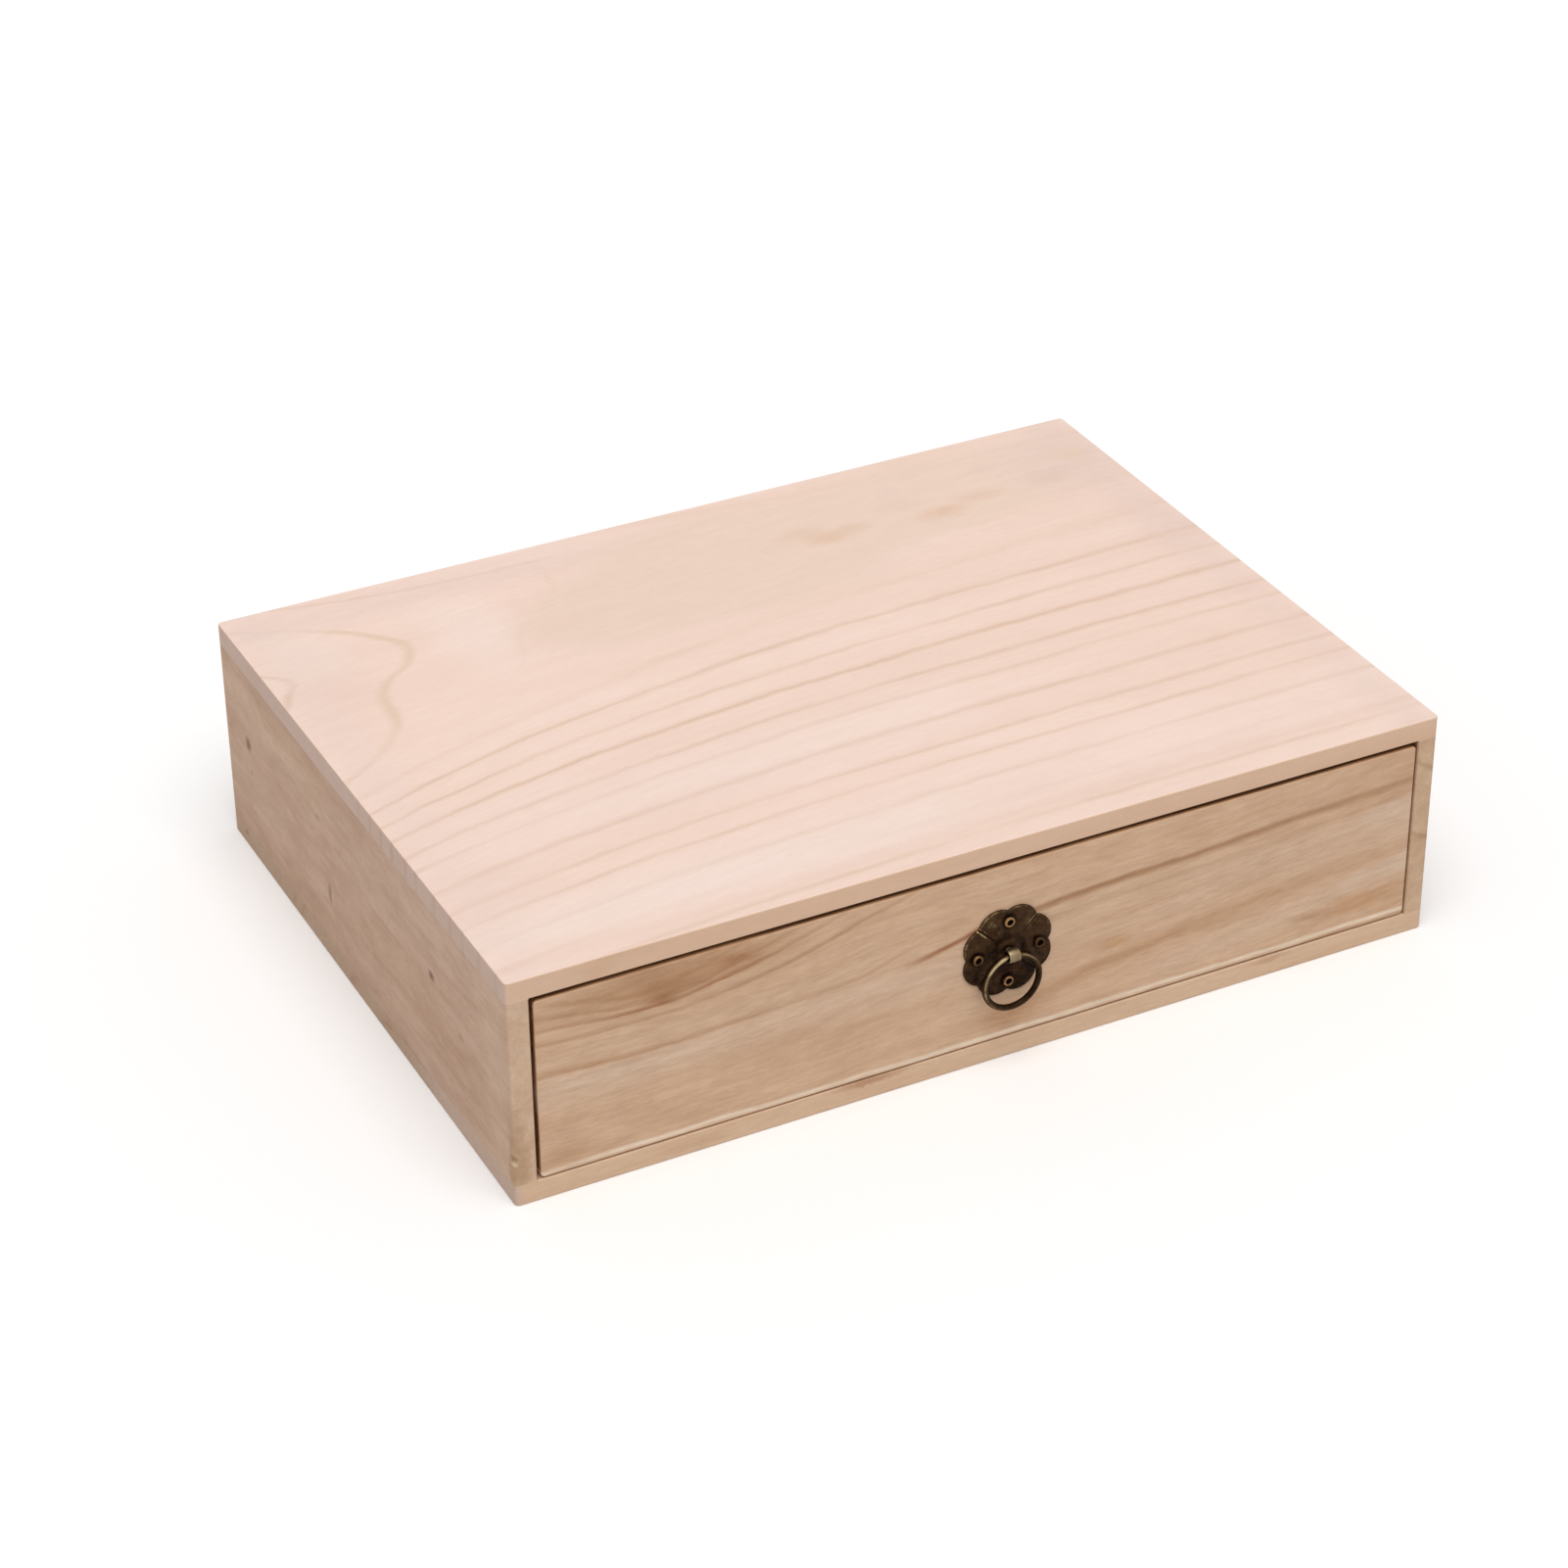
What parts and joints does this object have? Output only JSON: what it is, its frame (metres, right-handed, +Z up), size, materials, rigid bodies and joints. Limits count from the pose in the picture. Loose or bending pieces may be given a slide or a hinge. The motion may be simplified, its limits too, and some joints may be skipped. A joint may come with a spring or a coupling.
{
  "type": "desktop drawer organizer",
  "caption": "Flat wooden desktop case with one full-width drawer that holds A4 paper, opened by a flower-shaped ring pull.",
  "frame": {"origin": "middle of the case's underside", "axes": "+X along the case's width, to the right for someone facing the drawer; +Y to the back, so the drawer opens along -Y; +Z up"},
  "size_m": [0.33, 0.2491, 0.082],
  "materials": {
    "case_wood": "bare sanded paulownia",
    "drawer_wood": "bare sanded paulownia",
    "plywood": "bare thin plywood",
    "brad_steel": "bright wire",
    "antique_bronze": "dark antique bronze with worn edges",
    "screw_bronze": "antique bronze, worn to brass on the rims"
  },
  "bodies": {
    "case": {"case_top": "case_wood", "case_bottom": "case_wood", "case_left_side": "case_wood", "case_right_side": "case_wood", "case_back": "case_wood", "case_top_brads": "brad_steel", "case_bottom_brads": "brad_steel", "case_back_brads": "brad_steel"},
    "drawer": {"drawer_front": "drawer_wood", "drawer_left_side": "drawer_wood", "drawer_right_side": "drawer_wood", "drawer_back": "drawer_wood", "drawer_bottom": "plywood", "drawer_front_brads": "brad_steel", "drawer_back_brads": "brad_steel", "drawer_bottom_brads": "brad_steel", "pull_backplate": "antique_bronze", "pull_post": "antique_bronze", "pull_screws": "screw_bronze"},
    "ring": {"pull_ring": "antique_bronze"}
  },
  "joints": [
    {"name": "drawer_slide", "type": "slide", "parent": "case", "child": "drawer", "axis": [0, -1, 0], "range_m": [0, 0.19]},
    {"name": "ring_swing", "type": "hinge", "parent": "drawer", "child": "ring", "pos_m": [0.005, -0.12536, 0.0413], "axis": [-1, 0, 0], "range_deg": [-6, 186]}
  ]
}
